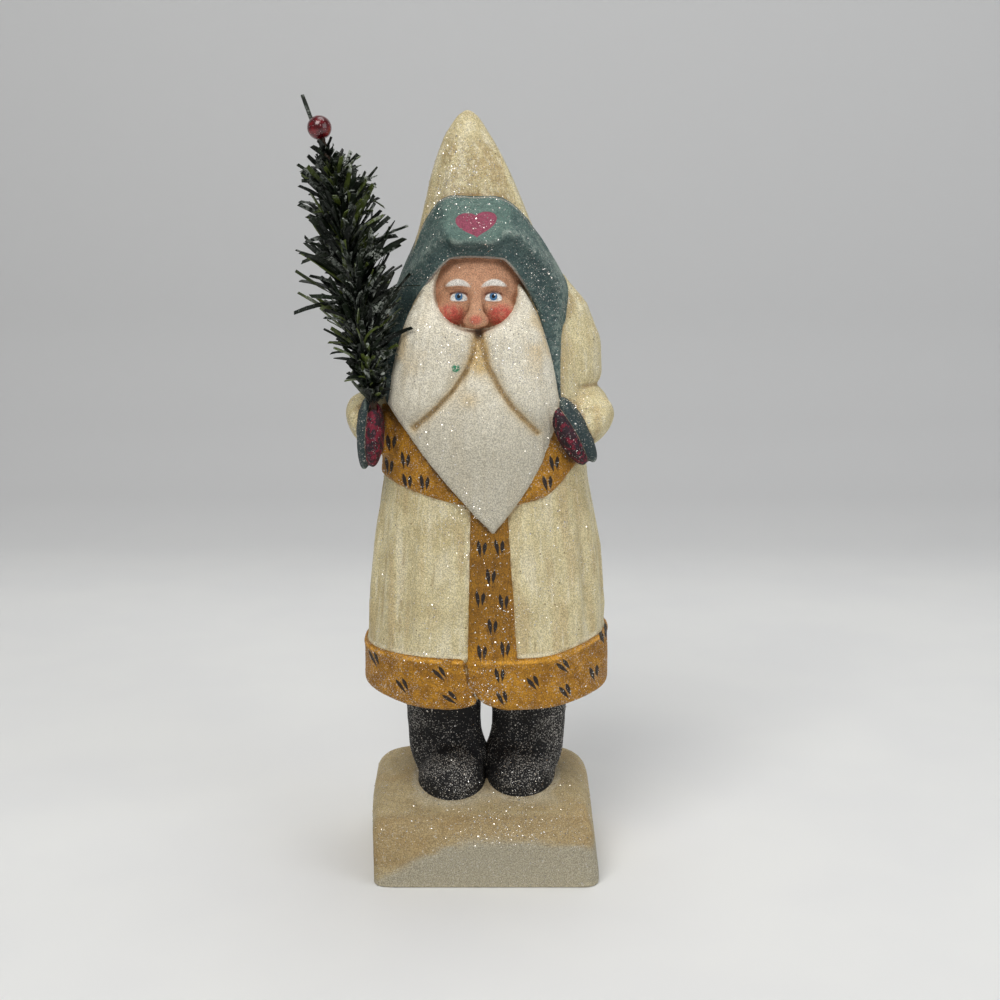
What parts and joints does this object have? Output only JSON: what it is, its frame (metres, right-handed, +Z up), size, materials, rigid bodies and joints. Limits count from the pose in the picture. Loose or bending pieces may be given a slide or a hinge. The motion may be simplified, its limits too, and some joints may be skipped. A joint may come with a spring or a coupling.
{
  "type": "santa figurine",
  "caption": "Standing plaster santa figure in a tall pointed hood and trimmed robe on a block base, with a fir sprig and berry in one mitten.",
  "frame": {"origin": "centre of the base's underside", "axes": "+Z up along the figure, +Y towards the figure's back, +X towards the viewer's right when the viewer faces the front"},
  "size_m": [0.0947, 0.0674, 0.2402],
  "materials": {
    "plaster": "matt hand-painted plaster with a fine clear glitter dusting",
    "needles": "dark green strip needles frosted white",
    "berry": "glossy red with a dusting of glitter"
  },
  "bodies": {
    "root": {"figure": "plaster", "sprig": "needles", "berry": "berry"}
  },
  "joints": []
}
